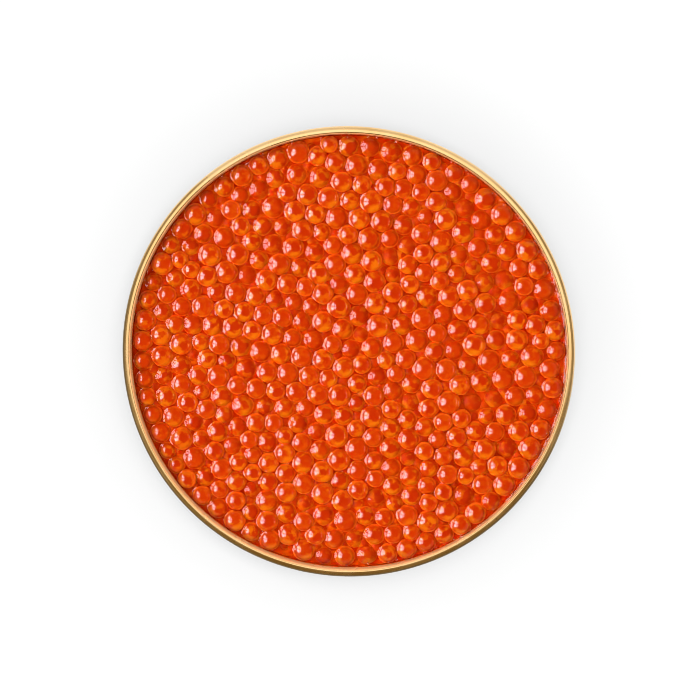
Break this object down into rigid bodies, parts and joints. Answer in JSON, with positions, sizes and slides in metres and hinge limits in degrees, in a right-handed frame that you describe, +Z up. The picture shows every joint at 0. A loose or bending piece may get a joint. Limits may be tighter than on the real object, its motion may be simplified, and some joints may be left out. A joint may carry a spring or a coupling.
{
  "type": "bowl of trout roe",
  "caption": "Shallow round bowl of thin gold-coloured metal with a rolled rim, filled to just under the rim with orange-red trout roe in a little clear liquid.",
  "frame": {"origin": "middle of the bowl's underside, on the surface it stands on", "axes": "+Z up along the bowl's axis, +Y towards the top edge of the picture, +X towards its right edge"},
  "size_m": [0.084, 0.084, 0.028],
  "materials": {
    "bowl": "satin gold lacquer on thin pressed sheet, with fine circular draw lines",
    "roe": "wet, glossy and translucent orange-red fish eggs"
  },
  "bodies": {
    "root": {"bowl": "bowl", "roe": "roe"}
  },
  "joints": []
}
